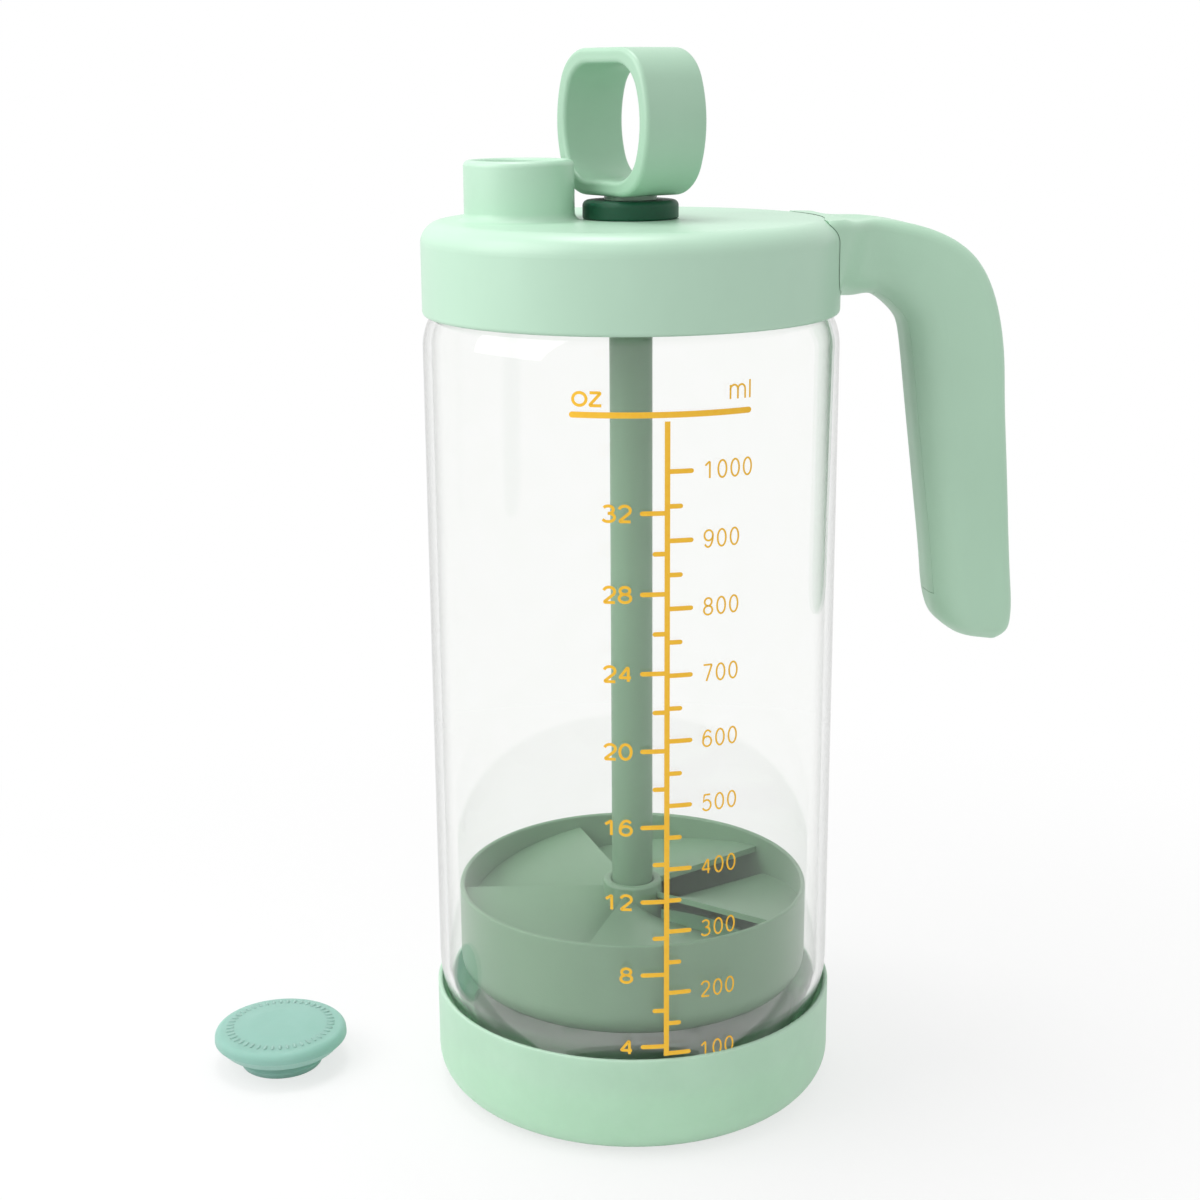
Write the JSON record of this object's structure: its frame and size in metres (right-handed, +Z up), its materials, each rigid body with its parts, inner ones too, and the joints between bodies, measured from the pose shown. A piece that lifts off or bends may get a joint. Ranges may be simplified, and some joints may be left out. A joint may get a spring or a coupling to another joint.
{
  "type": "baby formula mixing pitcher",
  "caption": "Tall round glass pitcher with a soft foot boot, screw lid with pouring spout and side handle, a finger-ring plunger with a bladed mixing wheel, and a loose spout stopper.",
  "frame": {"origin": "middle of the foot, on the jar's axis, at the level the pitcher stands on", "axes": "+Z up along the jar's axis, +X towards the handle, -Y towards the side that carries the printed scale; the spout is on the -X side"},
  "size_m": [0.197, 0.0974, 0.2484],
  "materials": {
    "clear_glass": "clear, polished",
    "green_plastic": "satin, soft sheen",
    "green_handle": "satin, soft sheen",
    "boot_silicone": "matte, soft",
    "dark_silicone": "matte, soft",
    "plug_silicone": "matte, soft",
    "gasket_silicone": "translucent, matte",
    "wheel_plastic": "satin"
  },
  "bodies": {
    "jar": {"glass_jar": "clear_glass"},
    "boot": {"base_boot": "boot_silicone"},
    "gasket": {"lid_gasket": "gasket_silicone"},
    "lid": {"lid_cap": "green_plastic", "handle_shell": "green_handle", "handle_cover": "green_handle"},
    "seal": {"plunger_seal": "dark_silicone"},
    "plunger": {"finger_ring": "green_plastic", "plunger_rod": "wheel_plastic", "wheel_cap": "wheel_plastic"},
    "wheel": {"mixing_wheel": "wheel_plastic"},
    "stopper": {"spout_plug": "plug_silicone"}
  },
  "joints": [
    {"name": "boot_pull_off", "type": "slide", "parent": "jar", "child": "boot", "axis": [0, 0, -1], "range_m": [0, 0.03]},
    {"name": "lid_rise", "type": "slide", "parent": "jar", "child": "gasket", "axis": [0, 0, 1], "range_m": [0, 0.006]},
    {"name": "lid_unscrew", "type": "hinge", "parent": "gasket", "child": "lid", "pos_m": [0, 0, 0.2], "axis": [0, 0, 1], "range_deg": [0, 360]},
    {"name": "plunger_turn", "type": "hinge", "parent": "lid", "child": "seal", "pos_m": [0, 0, 0.212], "axis": [0, 0, 1], "range_deg": [-60, 6]},
    {"name": "plunger_pump", "type": "slide", "parent": "seal", "child": "plunger", "axis": [0, 0, 1], "range_m": [0, 0.15]},
    {"name": "wheel_spin", "type": "hinge", "parent": "plunger", "child": "wheel", "pos_m": [0, 0, 0.04], "axis": [0, 0, 1], "continuous": true},
    {"name": "stopper_lift", "type": "slide", "parent": "jar", "child": "stopper", "axis": [0, 0, 1], "range_m": [0, 0.05]}
  ],
  "couplings": [
    {"joint": "lid_rise", "follows": "lid_unscrew", "m_per_rad": 0.0009549}
  ]
}
